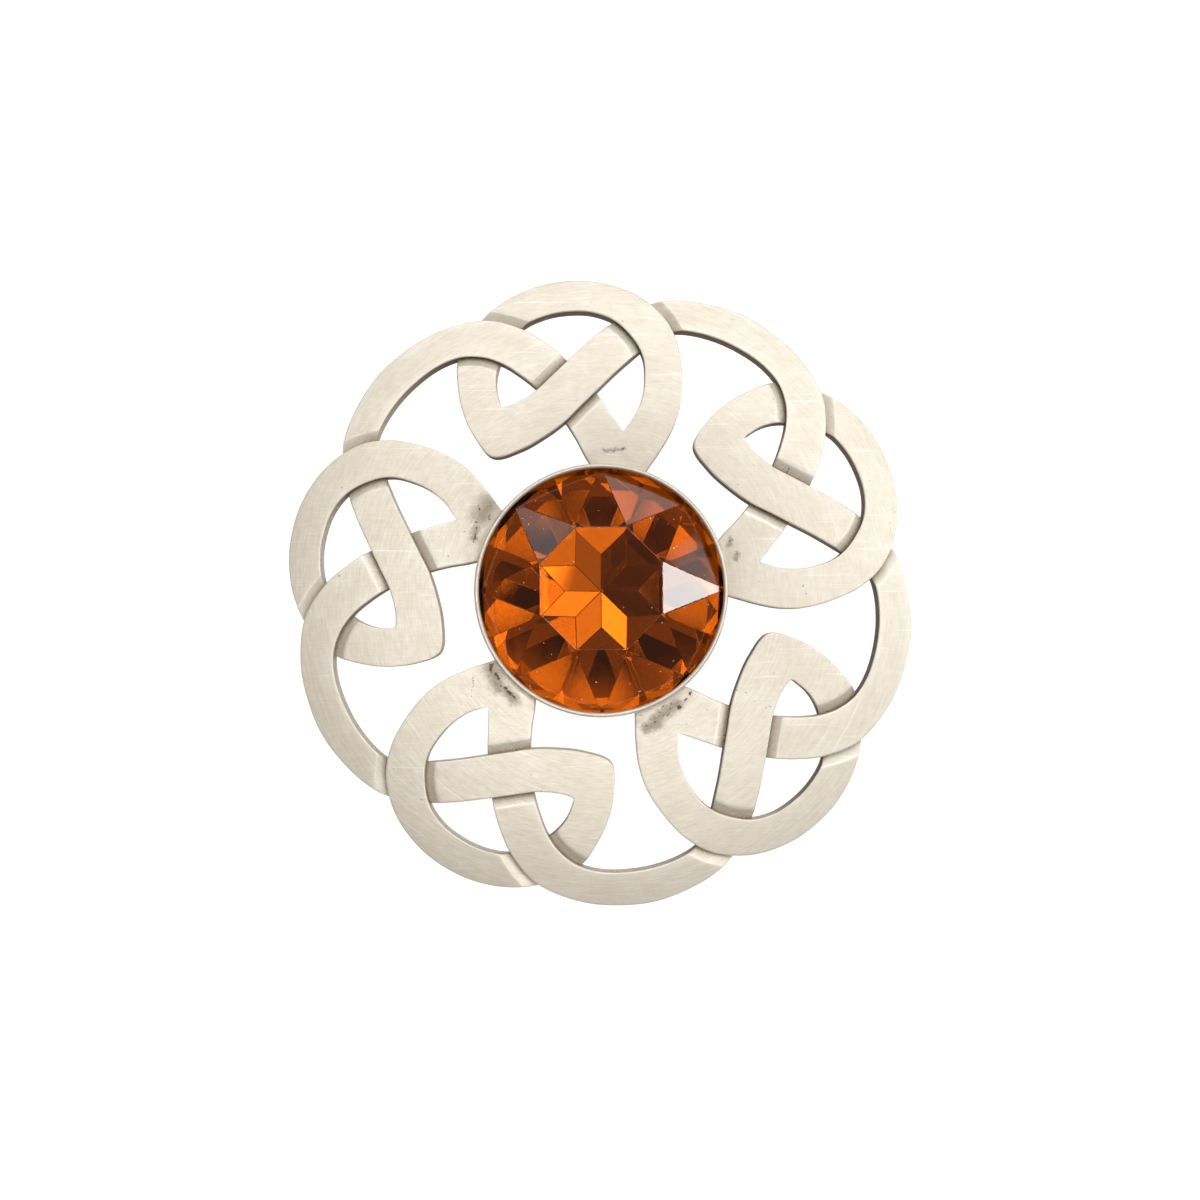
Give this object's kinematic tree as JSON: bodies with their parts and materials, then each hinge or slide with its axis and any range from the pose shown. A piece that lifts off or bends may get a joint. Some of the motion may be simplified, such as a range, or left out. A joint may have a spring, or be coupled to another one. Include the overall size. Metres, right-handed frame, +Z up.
{
  "type": "plaid brooch",
  "caption": "Round plaid brooch: a pierced, gently domed ring of cast interlace round a raised setting with a large faceted amber stone, and its pin finding behind.",
  "frame": {"origin": "on the brooch's axis, at the surface that its hinge and catch rest on", "axes": "+Z up through the stone's table, +Y towards the top of the picture, +X to its right; the pin stem runs along X"},
  "size_m": [0.0751, 0.0755, 0.0167],
  "materials": {
    "pewter": "satin cast pewter with fine cross scratches and dark oxide in its corners and pits",
    "amber_glass": "polished amber glass, foiled behind, with sharp facets",
    "pin_steel": "plain nickel-plated finding, lightly worn"
  },
  "bodies": {
    "root": {"knotwork": "pewter", "stone": "amber_glass", "brooch_pin": "pin_steel"}
  },
  "joints": []
}
